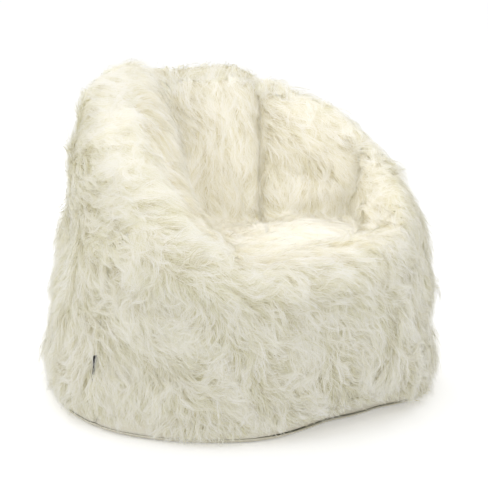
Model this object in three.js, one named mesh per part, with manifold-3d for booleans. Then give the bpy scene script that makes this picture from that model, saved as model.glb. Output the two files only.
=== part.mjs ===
// Faux-fur bean bag chair: a sewn cover of long-pile panels on a smooth base, a zip across the base,
// a zipped inner liner and one bead fill. Millimetres, +Z up, front towards -Y, origin on the floor
// at the centre of the base. Left and right are the sitter's: left is +X.
import * as THREE from 'three';
import { mergeVertices } from 'three/addons/utils/BufferGeometryUtils.js';
import Module from 'manifold-3d';

const wasm = await Module();
wasm.setup();

// ---- driving dimensions ----
const HALF_WIDTH = 392;        // footprint along X, to the middle of the pile
const HALF_DEPTH = 352;        // footprint along Y
const PLAN_POWER = 2.3;        // 2 is an ellipse, higher is squarer
const SEAT_CENTRE = { x: 45, y: -60 };
const SEAT_HEIGHT = 340;
const CREASE_HEIGHT = 345;     // where the seat meets the inner walls
const PILE = 30;               // backing and pile, as one soft layer
const HEM_PILE = 16;           // the same layer just above the base seam
const TOP_PILE = 12;           // and where it is pulled tight over the top edge
const BASE_CLOTH = 3;          // smooth base panel with its seam allowance
const LINER_CLOTH = 1.5;
const BASE_SPACE = 15;         // base underside to liner, where the zip lies
const BASE_DRAWN_IN = 0.96;    // liner base against cover base
const BASE_DIP = 6;            // how far the liner's rim sags below its base
const SEWN_GAP = 0.4;          // between two pieces that are sewn or lie together
const COLUMNS = 40;            // steps round the body, 9 degrees each
const BASE_ZIP = { y: 20, length: 560, z: BASE_CLOTH + 3.4 };     // both zips run along X
const LINER_ZIP = { y: -40, length: 400, z: BASE_SPACE - 2 };
const ZIP_SLOT = 24;           // width of the slot that a zip lies in
const LABEL = { height: 52, depth: 34, proud: 6, thickness: 1.6, z: 124 };

// The top edge and the seat hollow, every 30 degrees from the front, turning towards +X, seen from
// the seat centre: height and radius of the top edge, radius and height of the wall's inner
// shoulder, and radius of the crease at the foot of the wall.
const STATIONS = [
  { top: 332, topR: 236, lipR: 160, lip: 341, creaseR: 105 },
  { top: 336, topR: 248, lipR: 170, lip: 342, creaseR: 115 },
  { top: 366, topR: 274, lipR: 212, lip: 362, creaseR: 145 },
  { top: 422, topR: 280, lipR: 226, lip: 402, creaseR: 170 },
  { top: 488, topR: 280, lipR: 232, lip: 460, creaseR: 188 },
  { top: 574, topR: 262, lipR: 218, lip: 532, creaseR: 152 },
  { top: 628, topR: 268, lipR: 222, lip: 580, creaseR: 138 },
  { top: 634, topR: 314, lipR: 256, lip: 590, creaseR: 180 },
  { top: 645, topR: 326, lipR: 236, lip: 600, creaseR: 140 },
  { top: 548, topR: 280, lipR: 188, lip: 505, creaseR: 115 },
  { top: 442, topR: 262, lipR: 180, lip: 425, creaseR: 112 },
  { top: 357, topR: 247, lipR: 170, lip: 358, creaseR: 108 },
];

// Seams, in columns from the front.
const SIDE_SEAM_LEFT = 7;
const SIDE_SEAM_RIGHT = 34;
const CENTRE_SEAM = 19;
const ARM_SEAM_LEFT = 14;
const ARM_SEAM_RIGHT = 23;
const TONGUE = 3;              // the seat panel reaches the front edge this far either side

// Rings up the outside, over the top edge and down to the seat centre: RING holds their order and
// ROWS the steps taken between them.
const RING = { baseEdge: 2, hem: 3, shoulder: 7, top: 9, lip: 10, crease: 12, seatCentre: 14 };
const BASE_SEAM = 2.6;
const ROLL_SEAM = 9.5;
const ROWS = [0, 1, RING.baseEdge, BASE_SEAM, RING.hem, 4, 5, 6, RING.shoulder, 7.6, 8.2, 8.6,
  RING.top, ROLL_SEAM, RING.lip, 10.6, 11.3, RING.crease, 12.6, 13.2, RING.seatCentre];
const BASE_ROW = ROWS.indexOf(BASE_SEAM);
const TOP_ROW = ROWS.indexOf(RING.top);
const ROLL_ROW = ROWS.indexOf(ROLL_SEAM);
const CREASE_ROW = ROWS.indexOf(RING.crease);
const LAST_ROW = ROWS.length - 1;

// ---- body surface ----
const wrap = (value, count) => ((value % count) + count) % count;
const angleOf = (column) => (2 * Math.PI * column) / COLUMNS;
const mix = (a, b, share) => a.clone().lerp(b, share);

function smoothStep(a, b, c, d, f) {
  return 0.5 * (2 * b + (c - a) * f + (2 * a - 5 * b + 4 * c - d) * f * f
    + (3 * b - a - 3 * c + d) * f * f * f);
}

function stationAt(angle) {
  const place = wrap((angle / (2 * Math.PI)) * STATIONS.length, STATIONS.length);
  const first = Math.floor(place);
  const near = [-1, 0, 1, 2].map((step) => STATIONS[wrap(first + step, STATIONS.length)]);
  const station = {};
  for (const key of Object.keys(STATIONS[0])) {
    station[key] = smoothStep(...near.map((entry) => entry[key]), place - first);
  }
  return station;
}

function planPoint(angle, scale, z) {
  const stretch = (value) => Math.sign(value) * Math.abs(value) ** (2 / PLAN_POWER);
  return new THREE.Vector3(HALF_WIDTH * stretch(Math.sin(angle)) * scale,
    -HALF_DEPTH * stretch(Math.cos(angle)) * scale, z);
}

function hollowPoint(angle, radius, z) {
  return new THREE.Vector3(SEAT_CENTRE.x + radius * Math.sin(angle),
    SEAT_CENTRE.y - radius * Math.cos(angle), z);
}

// The rings crossed at one angle, from the base centre to the seat centre.
function ringsAt(angle) {
  const { top, topR, lipR, lip, creaseR } = stationAt(angle);
  const rise = (top - STATIONS[0].top) / 313;
  const shoulder = planPoint(angle, 0.985 - 0.15 * rise, top - 48 - 93 * rise);
  const edge = hollowPoint(angle, topR, top);
  const overShoulder = mix(shoulder, edge, 0.42);
  overShoulder.z = top - 18 - 10 * rise;
  return [
    planPoint(angle, 0, 0), planPoint(angle, 0.5, 0), planPoint(angle, 0.935, 0),
    planPoint(angle, 0.983, 24), planPoint(angle, 1, 100), planPoint(angle, 0.997, 190),
    mix(planPoint(angle, 0.99, 240), shoulder, 0.4), shoulder, overShoulder, edge,
    hollowPoint(angle, lipR, lip),
    hollowPoint(angle, 0.28 * lipR + 0.72 * creaseR, CREASE_HEIGHT + 0.34 * (lip - CREASE_HEIGHT)),
    hollowPoint(angle, creaseR, CREASE_HEIGHT), hollowPoint(angle, creaseR / 2, SEAT_HEIGHT + 3),
    hollowPoint(angle, 0, SEAT_HEIGHT),
  ];
}

function surfacePoint(angle, t) {
  const rings = ringsAt(angle);
  if (t <= 2) return mix(rings[Math.floor(t)], rings[Math.min(Math.floor(t) + 1, 2)], t % 1);
  const first = Math.min(Math.floor(t), rings.length - 2);
  const near = [-1, 0, 1, 2].map((step) => rings[Math.min(first + step, rings.length - 1)]);
  const along = (axis) => smoothStep(...near.map((ring) => ring[axis]), t - first);
  return new THREE.Vector3(along('x'), along('y'), Math.max(along('z'), 0));
}

function inwardNormal(angle, t) {
  if (t <= 2) return new THREE.Vector3(0, 0, 1);
  if (t >= RING.seatCentre) return new THREE.Vector3(0, 0, -1);
  const step = 0.04;
  const alongRing = surfacePoint(angle + step, t).sub(surfacePoint(angle - step, t));
  const upRing = surfacePoint(angle, t + step).sub(surfacePoint(angle, t - step));
  return upRing.cross(alongRing).normalize();
}

// A point under the surface. The liner and the fill, deeper than the cover's own cloth, are drawn in
// at their base and lie clear of the floor at the base seam.
function insetPoint(column, row, depth) {
  const angle = angleOf(column);
  const t = ROWS[row];
  const point = surfacePoint(angle, t).addScaledVector(inwardNormal(angle, t), depth);
  if (t <= RING.baseEdge && depth >= BASE_SPACE) {
    point.x *= BASE_DRAWN_IN;
    point.y *= BASE_DRAWN_IN;
  }
  if (t === BASE_SEAM && depth > HEM_PILE) point.z = Math.max(point.z, depth - BASE_DIP);
  return point;
}

// ---- sewn panels ----
// How far the sewn cover reaches inwards, row by row.
function coverDepth(row) {
  if (row < BASE_ROW) return BASE_CLOTH;
  if (row <= BASE_ROW + 1) return HEM_PILE;
  const fromTop = Math.abs(ROWS[row] - RING.top);
  return Math.min(PILE, TOP_PILE + 0.75 * (PILE - TOP_PILE) * fromTop);
}

const linerDepth = (row) => Math.max(BASE_SPACE, coverDepth(row) + 2);
const fillDepth = (row) => linerDepth(row) + LINER_CLOTH + 0.6;

// A closed layer over the cells that belong to a panel, from one depth to another. Its free edges
// are drawn in by half the sewn gap. Without an inner depth it is the solid the surface encloses.
function layer(belongs, outerDepth, innerDepth) {
  const isCell = (column, row) => row >= 0 && row < LAST_ROW && belongs(wrap(column, COLUMNS), row);
  const positions = [];
  const sides = innerDepth ? [outerDepth, innerDepth] : [outerDepth];
  const cornerCells = [[-1, -1], [0, -1], [-1, 0], [0, 0]];

  function corner(side, column, row) {
    const point = insetPoint(column, row, sides[side](row));
    const present = cornerCells.filter(([dc, dr]) => isCell(column + dc, row + dr));
    const atPole = row === 0 || row === LAST_ROW;
    if (present.length === 4 || atPole) return point;
    const target = new THREE.Vector3();
    for (const [dc, dr] of present) {
      target.add(insetPoint(column + (dc ? -1 : 1), row + (dr ? -1 : 1), sides[side](row)));
    }
    target.multiplyScalar(1 / present.length).sub(point);
    return point.addScaledVector(target.normalize(), SEWN_GAP);
  }

  function triangle(a, b, c) {
    if (a.distanceTo(b) < 1e-4 || b.distanceTo(c) < 1e-4 || c.distanceTo(a) < 1e-4) return;
    for (const point of [a, b, c]) positions.push(point.x, point.y, point.z);
  }

  function quad(a, b, c, d) {
    triangle(a, b, c);
    triangle(a, c, d);
  }

  for (let column = 0; column < COLUMNS; column += 1) {
    for (let row = 0; row < LAST_ROW; row += 1) {
      if (!isCell(column, row)) continue;
      const at = (side, dc, dr) => corner(side, column + dc, row + dr);
      quad(at(0, 0, 0), at(0, 1, 0), at(0, 1, 1), at(0, 0, 1));
      if (!innerDepth) continue;
      quad(at(1, 0, 0), at(1, 0, 1), at(1, 1, 1), at(1, 1, 0));
      if (!isCell(column, row - 1) && row > 0) quad(at(0, 0, 0), at(1, 0, 0), at(1, 1, 0), at(0, 1, 0));
      if (!isCell(column, row + 1) && row + 1 < LAST_ROW) {
        quad(at(0, 0, 1), at(0, 1, 1), at(1, 1, 1), at(1, 0, 1));
      }
      if (!isCell(column - 1, row)) quad(at(0, 0, 1), at(1, 0, 1), at(1, 0, 0), at(0, 0, 0));
      if (!isCell(column + 1, row)) quad(at(1, 1, 0), at(1, 1, 1), at(0, 1, 1), at(0, 1, 0));
    }
  }
  const geometry = new THREE.BufferGeometry();
  geometry.setAttribute('position', new THREE.Float32BufferAttribute(positions, 3));
  return mergeVertices(geometry, 1e-3);
}

// ---- solids ----
function toSolid(geometry) {
  const bare = geometry.clone();
  bare.deleteAttribute('normal');
  bare.deleteAttribute('uv');
  const merged = mergeVertices(bare, 1e-3);
  return new wasm.Manifold(new wasm.Mesh({
    numProp: 3,
    vertProperties: new Float32Array(merged.attributes.position.array),
    triVerts: new Uint32Array(merged.index.array),
  }));
}

function toGeometry(solid) {
  const mesh = solid.getMesh();
  const geometry = new THREE.BufferGeometry();
  geometry.setAttribute('position', new THREE.BufferAttribute(mesh.vertProperties, 3));
  geometry.setIndex(new THREE.BufferAttribute(mesh.triVerts, 1));
  return geometry;
}

function box(width, depth, height, x, y, z) {
  const geometry = new THREE.BoxGeometry(width, depth, height);
  return geometry.translate(x, y, z);
}

const chair = new THREE.Group();

function addPiece(name, geometry, color, roughness, metalness = 0) {
  const material = new THREE.MeshStandardMaterial({ color, roughness, metalness });
  const mesh = new THREE.Mesh(geometry, material);
  mesh.name = name;
  chair.add(mesh);
  return mesh;
}

// ---- cover ----
const FUR = '#ded6bf';
const BASE_COLOUR = '#d8d0b8';
const LINER_COLOUR = '#f2f2ee';
const LABEL_COLOUR = '#3c3d40';
const ZIP_COLOUR = '#cfc8b4';

const between = (value, low, high) => value >= low && value < high;
const onOutside = (row, endRow) => between(row, BASE_ROW, endRow);
const isTongue = (column) => column < TONGUE || column >= COLUMNS - TONGUE;
const wallStart = (column) => (isTongue(column) ? TOP_ROW : ROLL_ROW);
const onWall = (column, row) => between(row, wallStart(column), CREASE_ROW) && !isTongue(column);

const PANELS = {
  front_panel: (column, row) => onOutside(row, wallStart(column))
    && (column < SIDE_SEAM_LEFT || column >= SIDE_SEAM_RIGHT),
  outer_back_panel_left: (column, row) => onOutside(row, wallStart(column))
    && between(column, SIDE_SEAM_LEFT, CENTRE_SEAM),
  outer_back_panel_right: (column, row) => onOutside(row, wallStart(column))
    && between(column, CENTRE_SEAM, SIDE_SEAM_RIGHT),
  inner_back_panel_left: (column, row) => onWall(column, row)
    && between(column, ARM_SEAM_LEFT, CENTRE_SEAM),
  inner_back_panel_right: (column, row) => onWall(column, row)
    && between(column, CENTRE_SEAM, ARM_SEAM_RIGHT),
  arm_panel_left: (column, row) => onWall(column, row) && column < ARM_SEAM_LEFT,
  arm_panel_right: (column, row) => onWall(column, row) && column >= ARM_SEAM_RIGHT,
  seat_panel: (column, row) => row >= CREASE_ROW || (row >= TOP_ROW && isTongue(column)),
};

// The folded side label stands out of the right-hand side seam, through a slot in both panels.
function labelAt(thickness, height, depth) {
  const angle = angleOf(SIDE_SEAM_RIGHT);
  const root = surfacePoint(angle, 4);
  const inward = inwardNormal(angle, 4);
  const geometry = new THREE.BoxGeometry(depth, thickness, height);
  geometry.rotateZ(Math.atan2(inward.y, inward.x));
  const middle = root.addScaledVector(inward, LABEL.depth / 2 - LABEL.proud);
  return geometry.translate(middle.x, middle.y, LABEL.z);
}

function addCover() {
  const labelSlot = toSolid(labelAt(LABEL.thickness + 1, LABEL.height + 2, LABEL.depth + 1));
  for (const [name, belongs] of Object.entries(PANELS)) {
    let geometry = layer(belongs, () => 0, coverDepth);
    if (name === 'front_panel' || name === 'outer_back_panel_right') {
      geometry = toGeometry(toSolid(geometry).subtract(labelSlot));
    }
    addPiece(name, geometry, FUR, 0.95);
  }
  addPiece('side_label', labelAt(LABEL.thickness, LABEL.height, LABEL.depth), LABEL_COLOUR, 0.7);
}

// ---- zips ----
// A straight zip along X: two tapes, two rows of coils with a gap for the slider's neck, the slider
// and a stop at each end. Positions are of the coils' middle.
const ZIP = { coil: 3.4, coilHeight: 2.4, neck: 1.6, tape: 11, tapeHeight: 0.8, pitch: 10 };
const SLIDER = { length: 16, width: 11, plate: 1.3, neck: 0.8, clearance: 0.4 };
const STOP = { length: 5, width: 9, height: 3.4 };

function coilRow(side, length, toothed) {
  const inner = (side * ZIP.neck) / 2;
  const outer = side * (ZIP.neck / 2 + ZIP.coil);
  const notch = side * (ZIP.neck / 2 + 0.7);
  const outline = new THREE.Shape();
  outline.moveTo(-length / 2, outer);
  outline.lineTo(length / 2, outer);
  outline.lineTo(length / 2, inner);
  const teeth = toothed ? Math.round(length / ZIP.pitch) : 0;
  for (let tooth = 1; tooth < teeth; tooth += 1) {
    const x = length / 2 - tooth * ZIP.pitch;
    outline.lineTo(x + 1, inner);
    outline.lineTo(x, notch);
    outline.lineTo(x - 1, inner);
  }
  outline.lineTo(-length / 2, inner);
  const geometry = new THREE.ExtrudeGeometry(outline, { depth: ZIP.coilHeight, bevelEnabled: false });
  return geometry.translate(0, 0, -ZIP.coilHeight / 2);
}

function sliderBody() {
  const plateZ = ZIP.coilHeight / 2 + SLIDER.clearance + SLIDER.plate / 2;
  const neckHeight = 2 * plateZ;
  const outline = new THREE.Shape();
  const half = SLIDER.length / 2;
  outline.moveTo(-half, -SLIDER.width * 0.36);
  outline.lineTo(half * 0.5, -SLIDER.width / 2);
  outline.absarc(half * 0.5, 0, SLIDER.width / 2, -Math.PI / 2, Math.PI / 2, false);
  outline.lineTo(-half, SLIDER.width * 0.36);
  const plate = new THREE.ExtrudeGeometry(outline,
    { depth: SLIDER.plate, bevelEnabled: false, curveSegments: 6 });
  const lower = plate.clone().translate(0, 0, -plateZ - SLIDER.plate / 2);
  const upper = plate.clone().translate(0, 0, plateZ - SLIDER.plate / 2);
  const neck = box(SLIDER.length * 0.4, SLIDER.neck, neckHeight, 1, 0, 0);
  return toGeometry(toSolid(lower).add(toSolid(upper)).add(toSolid(neck)));
}

function addZip(prefix, { length, y, z }, toothed) {
  const place = (geometry, x = 0) => geometry.translate(x, y, z);
  const sides = { front: -1, rear: 1 };
  for (const [side, sign] of Object.entries(sides)) {
    const tapeY = sign * (ZIP.neck / 2 + ZIP.coil + SEWN_GAP + ZIP.tape / 2);
    const tape = box(length + 20, ZIP.tape, ZIP.tapeHeight, 0, tapeY, 0);
    addPiece(`${prefix}_tape_${side}`, place(tape), ZIP_COLOUR, 0.85);
    addPiece(`${prefix}_coil_${side}`, place(coilRow(sign, length, toothed)), ZIP_COLOUR, 0.5);
  }
  const stopX = length / 2 + SEWN_GAP + STOP.length / 2;
  for (const [end, sign] of [['left', 1], ['right', -1]]) {
    const stop = box(STOP.length, STOP.width - 1.2, STOP.height, 0, 0, 0);
    addPiece(`${prefix}_stop_${end}`, place(stop, sign * stopX), '#b9b9b4', 0.35, 0.8);
  }
  const sliderX = length / 2 - SLIDER.length / 2 - 2;
  addPiece(`${prefix}_slider`, place(sliderBody(), sliderX), '#b4b4b0', 0.35, 0.85);
}

// ---- base and liner ----
const inBase = (column, row) => row < BASE_ROW;
const LARGE = 1000;

// Cuts a disc-shaped layer into a front and a rear half, with a slot for the zip between them.
function addHalves(prefix, disc, zip, color, roughness) {
  const opening = toSolid(box(zip.length + ZIP_SLOT, ZIP_SLOT, LARGE, 0, zip.y, 0));
  const cutLine = toSolid(box(LARGE, 2 * SEWN_GAP, LARGE, 0, zip.y, 0));
  const front = toSolid(box(LARGE, LARGE, LARGE, 0, zip.y - LARGE / 2, 0));
  const rest = toSolid(disc).subtract(opening).subtract(cutLine);
  addPiece(`${prefix}_front`, toGeometry(rest.intersect(front)), color, roughness);
  addPiece(`${prefix}_rear`, toGeometry(rest.subtract(front)), color, roughness);
}

function addBase() {
  const disc = layer(inBase, () => 0, () => BASE_CLOTH);
  addHalves('base_panel', disc, BASE_ZIP, BASE_COLOUR, 0.8);
  addZip('base_zip', BASE_ZIP, true);
}

function addLiner() {
  const linerInside = (row) => linerDepth(row) + LINER_CLOTH;
  const inDisc = (column, row) => ROWS[row] < RING.baseEdge;
  const shell = layer((column, row) => !inDisc(column, row), linerDepth, linerInside);
  addPiece('liner_shell', shell, LINER_COLOUR, 0.7);
  addHalves('liner_base', layer(inDisc, linerDepth, linerInside), LINER_ZIP, LINER_COLOUR, 0.7);
  addZip('liner_zip', LINER_ZIP, false);
}

function addFill() {
  addPiece('bead_fill', layer(() => true, fillDepth), '#fbfbf8', 0.6);
}

addCover();
addBase();
addLiner();
addFill();

export default chair;
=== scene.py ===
"""Faux-fur bean bag chair: sewn cover panels with a long combed pile, built round the CAD frame."""
import math

import bmesh
import bpy
import numpy as np
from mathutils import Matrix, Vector


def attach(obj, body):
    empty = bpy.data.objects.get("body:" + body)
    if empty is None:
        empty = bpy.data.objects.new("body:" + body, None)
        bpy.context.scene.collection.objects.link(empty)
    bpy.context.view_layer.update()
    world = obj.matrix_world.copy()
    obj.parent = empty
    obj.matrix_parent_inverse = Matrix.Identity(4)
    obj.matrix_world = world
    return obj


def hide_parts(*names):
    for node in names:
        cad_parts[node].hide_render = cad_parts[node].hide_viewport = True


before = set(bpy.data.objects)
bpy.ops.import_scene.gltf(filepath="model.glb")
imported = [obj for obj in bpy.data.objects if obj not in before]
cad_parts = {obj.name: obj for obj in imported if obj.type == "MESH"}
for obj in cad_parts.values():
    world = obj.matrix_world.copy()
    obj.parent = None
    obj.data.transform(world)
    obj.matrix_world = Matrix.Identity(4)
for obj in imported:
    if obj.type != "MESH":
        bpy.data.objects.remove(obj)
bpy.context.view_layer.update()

# ---- the body's shape, in metres, as the CAD part has it ----
HALF_WIDTH, HALF_DEPTH, PLAN_POWER = 0.392, 0.352, 2.3
SEAT_CENTRE = (0.045, -0.060)
SEAT_HEIGHT, CREASE_HEIGHT = 0.340, 0.345
FRONT_TOP, TOP_RANGE = 0.332, 0.313
# Every 30 degrees from the front, towards +X: height and radius of the top edge, radius and height
# of the wall's inner shoulder, and radius of the crease at its foot, seen from the seat centre.
STATIONS = np.array([
    (0.332, 0.236, 0.160, 0.341, 0.105),
    (0.336, 0.248, 0.170, 0.342, 0.115),
    (0.366, 0.274, 0.212, 0.362, 0.145),
    (0.422, 0.280, 0.226, 0.402, 0.170),
    (0.488, 0.280, 0.232, 0.460, 0.188),
    (0.574, 0.262, 0.218, 0.532, 0.152),
    (0.628, 0.268, 0.222, 0.580, 0.138),
    (0.634, 0.314, 0.256, 0.590, 0.180),
    (0.645, 0.326, 0.236, 0.600, 0.140),
    (0.548, 0.280, 0.188, 0.505, 0.115),
    (0.442, 0.262, 0.180, 0.425, 0.112),
    (0.357, 0.247, 0.170, 0.358, 0.108),
])
# The body is swept by rings from the middle of its base (0) over the top edge to the middle of the
# seat (14). Seams and features are placed by ring, and by degrees round the body from its front.
FLOOR_EDGE, BASE_SEAM, TOP, ROLL, CREASE, SEAT_MIDDLE = 2.0, 2.6, 9.0, 9.5, 12.0, 14.0
SIDE_LEFT, ARM_LEFT, CENTRE, ARM_RIGHT, SIDE_RIGHT = 63.0, 126.0, 171.0, 207.0, 306.0
TONGUE = 27.0  # half the width of the seat panel's tongue, in degrees

SEED = 287


def catmull(a, b, c, d, f):
    """The smooth curve through four values, at a share of the way from b to c."""
    return 0.5 * (2 * b + (c - a) * f + (2 * a - 5 * b + 4 * c - d) * f ** 2
                  + (3 * b - a - 3 * c + d) * f ** 3)


def station_values(angle):
    place = (angle / (2 * math.pi) * len(STATIONS)) % len(STATIONS)
    first = np.floor(place).astype(int)
    near = [STATIONS[(first + step) % len(STATIONS)] for step in (-1, 0, 1, 2)]
    return catmull(*near, (place - first)[..., None])


def with_height(x, y, z):
    return np.stack([x, y, np.broadcast_to(z, x.shape)], -1)


def plan_ring(angle, scale, z):
    def stretch(value):
        return np.sign(value) * np.abs(value) ** (2 / PLAN_POWER)
    return with_height(HALF_WIDTH * stretch(np.sin(angle)) * scale,
                       -HALF_DEPTH * stretch(np.cos(angle)) * scale, z)


def hollow_ring(angle, radius, z):
    return with_height(SEAT_CENTRE[0] + radius * np.sin(angle),
                       SEAT_CENTRE[1] - radius * np.cos(angle), z)


def body_rings(angle):
    top, top_r, lip_r, lip, crease_r = np.moveaxis(station_values(angle), -1, 0)
    rise = (top - FRONT_TOP) / TOP_RANGE
    shoulder = plan_ring(angle, 0.985 - 0.15 * rise, top - 0.048 - 0.093 * rise)
    edge = hollow_ring(angle, top_r, top)
    over = 0.58 * shoulder + 0.42 * edge
    over[..., 2] = top - 0.018 - 0.010 * rise
    return np.stack([
        plan_ring(angle, 0.0, 0.0), plan_ring(angle, 0.5, 0.0), plan_ring(angle, 0.935, 0.0),
        plan_ring(angle, 0.983, 0.024), plan_ring(angle, 1.0, 0.100), plan_ring(angle, 0.997, 0.190),
        0.6 * plan_ring(angle, 0.99, 0.240) + 0.4 * shoulder, shoulder, over, edge,
        hollow_ring(angle, lip_r, lip),
        hollow_ring(angle, 0.28 * lip_r + 0.72 * crease_r,
                    CREASE_HEIGHT + 0.34 * (lip - CREASE_HEIGHT)),
        hollow_ring(angle, crease_r, CREASE_HEIGHT),
        hollow_ring(angle, crease_r / 2, SEAT_HEIGHT + 0.003),
        hollow_ring(angle, 0 * crease_r, SEAT_HEIGHT)])


def body_surface(angle, t):
    """Points on the body at angles and fractional rings."""
    rings = body_rings(angle)
    first = np.minimum(np.floor(t).astype(int), len(rings) - 2)
    share = (t - first)[..., None]

    def ring(step):
        picked = np.clip(first + step, 0, len(rings) - 1)[None, ..., None].repeat(3, -1)
        return np.take_along_axis(rings, picked, 0)[0]
    curved = catmull(ring(-1), ring(0), ring(1), ring(2), share)
    straight = ring(0) * (1 - share) + ring(1) * share
    point = np.where((t <= FLOOR_EDGE)[..., None], straight, curved)
    point[..., 2] = np.maximum(point[..., 2], 0)
    return point


# ---- grids over the body ----
COLUMNS = 360  # one degree each
ROW_STEP = 0.05
ROW_T = np.arange(FLOOR_EDGE, SEAT_MIDDLE + ROW_STEP / 2, ROW_STEP)
DEGREES = np.arange(COLUMNS) * 360.0 / COLUMNS
ANGLE_GRID, T_GRID = np.meshgrid(np.radians(DEGREES), ROW_T)


def unit(v):
    return v / np.maximum(np.linalg.norm(v, axis=-1, keepdims=True), 1e-9)


def grid_normals(points):
    around = np.roll(points, -1, 1) - np.roll(points, 1, 1)
    up = np.gradient(points, axis=0)
    normal = unit(np.cross(around, up))
    normal[-1] = (0, 0, 1)
    return normal


def sample(grid, row, column):
    """Bilinear value of a grid at fractional rows and columns; columns wrap."""
    rows, columns = grid.shape[:2]
    row, column = np.broadcast_arrays(np.clip(row, 0, rows - 1.001), column)
    r0 = np.floor(row).astype(int)
    c0 = np.floor(column).astype(int)
    fr = (row - r0)[..., None]
    fc = (column - c0)[..., None]
    c0 %= columns
    c1 = (c0 + 1) % columns
    low = grid[r0, c0] * (1 - fc) + grid[r0, c1] * fc
    high = grid[r0 + 1, c0] * (1 - fc) + grid[r0 + 1, c1] * fc
    return low * (1 - fr) + high * fr


NOISE_WAVES = 9


def smooth_noise(points, wavelength, seed):
    """Sum of seeded plane waves, about -1 to 1, that varies over the wavelength."""
    rng = np.random.default_rng(seed)
    total = np.zeros(points.shape[:-1])
    for _ in range(NOISE_WAVES):
        direction = unit(rng.normal(size=3)) * 2 * math.pi / wavelength * rng.uniform(0.6, 1.5)
        total += np.sin(points @ direction + rng.uniform(0, 2 * math.pi))
    return total / math.sqrt(NOISE_WAVES / 1.2)


# ---- seams, folds and swellings ----
# Each seam or fold is a path of (degrees, ring) places, how deep it is and how wide.
CREASES = [
    (((172, 10.3), (173, 10.9), (174, 12.2)), 0.044, 0.016),
    (((171, 9.7), (172, 10.3)), 0.030, 0.017),
    (((171, 8.2), (171, 9.7)), 0.014, 0.018),
    (((171, 2.6), (171, 8.2)), 0.009, 0.014),
    (((213, 10.3), (214, 10.8)), 0.036, 0.015),
    (((210, 9.6), (213, 10.2), (213, 11.2), (211, 12.2)), 0.012, 0.020),
    (((120, 9.8), (119, 10.5), (125, 12.1)), 0.032, 0.016),
    (((63, 2.6), (63, 9.3)), 0.007, 0.013),
    (((306, 2.6), (306, 9.3)), 0.004, 0.012),
    (((156, 9.5), (185, 9.5), (212, 9.5)), 0.014, 0.014),
    (((252, 9.65), (266, 9.8), (279, 10.05), (297, 10.15), (306, 9.95)), 0.011, 0.018),
    (((60, 12), (120, 12), (180, 12), (240, 12), (300, 12)), 0.015, 0.015),
    (((132, 10.9), (150, 11.0), (168, 10.9)), 0.006, 0.012),
    (((75, 10.0), (71, 10.4)), 0.020, 0.014),
]
BULGE, BULGE_REACH = 0.012, 0.055  # how far the panels stand out between their seams
LUMPS, LUMP_LENGTH = 0.006, 0.22  # unevenness of the loose filling
# Where the filling pushes out or settles: degrees, ring, amount and reach.
SWELLS = [
    (252, 7.8, 0.022, 0.070), (240, 8.8, -0.002, 0.070), (280, 6.2, -0.031, 0.110),
    (274, 3.8, -0.013, 0.100), (130, 8.6, 0.010, 0.100), (200, 8.8, 0.004, 0.060),
    (214, 8.9, 0.012, 0.060), (105, 9.0, 0.004, 0.080), (70, 9.0, 0.006, 0.070),
    (56, 3.4, 0.002, 0.100),
]
CREASE_RINGS, SWELL_RINGS = 1.2, 2.2  # how many rings away a crease or a swelling still acts
# How far the pile's backing lies under the body's surface, by ring.
DEPTH_RINGS, BACKING_DEPTH = (2.0, 2.6, 4.2), (0.006, 0.006, 0.032)
NORMAL_REACH, SIDEWAYS_PASSES = 0.034, 10  # how far up and sideways inset directions are averaged
SETTLED = 0.05  # below this height the relief fades towards the floor


def soft_between(value, low, high, fade):
    """1 between two values and 0 outside them, with a soft change over the fade."""
    rising = np.clip((value - low) / fade + 0.5, 0, 1)
    falling = np.clip((high - value) / fade + 0.5, 0, 1)
    return rising * rising * (3 - 2 * rising) * falling * falling * (3 - 2 * falling)


def grid_places(path):
    """Places along a path, one for each 1.5 degrees or tenth of a ring."""
    places = []
    for (d0, t0), (d1, t1) in zip(path, path[1:]):
        steps = int(max(abs(d1 - d0) / 1.5, abs(t1 - t0) / 0.1, 1))
        places += [(d0 + (d1 - d0) * k / steps, t0 + (t1 - t0) * k / steps) for k in range(steps + 1)]
    return np.array(places)


def at_place(grid, degrees, ring):
    """Values of a grid at degrees and rings."""
    row = (np.atleast_1d(ring) - ROW_T[0]) / ROW_STEP
    return sample(grid, row, np.atleast_1d(degrees) * COLUMNS / 360.0)


def crease_relief(points):
    """How far each grid point sinks, and how far it is from the nearest crease, in metres."""
    sink = np.zeros(points.shape[:2])
    nearest = np.full(points.shape[:2], 1.0)
    for path, depth, width in CREASES:
        places = grid_places(path)
        distance = np.full(points.shape[:2], 1.0)
        for (_, ring), spot in zip(places, at_place(points, places[:, 0], places[:, 1])):
            rows = np.abs(ROW_T - ring) < CREASE_RINGS
            apart = np.linalg.norm(points[rows] - spot, axis=-1)
            distance[rows] = np.minimum(distance[rows], apart)
        sink = np.maximum(sink, depth * np.exp(-(distance / width) ** 2))
        nearest = np.minimum(nearest, distance)
    return sink, nearest


def swelling(points):
    total = np.zeros(points.shape[:2])
    for degrees, ring, amount, reach in SWELLS:
        spot = at_place(points, degrees, ring)[0]
        apart = np.linalg.norm(points - spot, axis=-1)
        total += amount * np.exp(-(apart / reach) ** 2) * (np.abs(T_GRID - ring) < SWELL_RINGS)
    return total


# Where the foot of the wall is drawn in under the body: from, to and fade in degrees, how far it is
# drawn in at the floor and up to which ring.
TUCK = (9.0, 54.0, 28.0, 0.095, 3.9)


def tucked(points, degrees, ring):
    """The body with its foot drawn in on one side."""
    first, last, fade, depth, top = TUCK
    side = (degrees + 90) % 360 - 90
    round_share = soft_between(side, first, last, fade)
    up_share = np.clip((top - ring) / (top - FLOOR_EDGE), 0, 1) ** 1.2
    up_share = up_share * np.clip(ring / FLOOR_EDGE, 0, 1)
    outwards = unit(points * (1.0, 1.0, 0.0))
    return points - outwards * (depth * round_share * up_share)[..., None]


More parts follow.
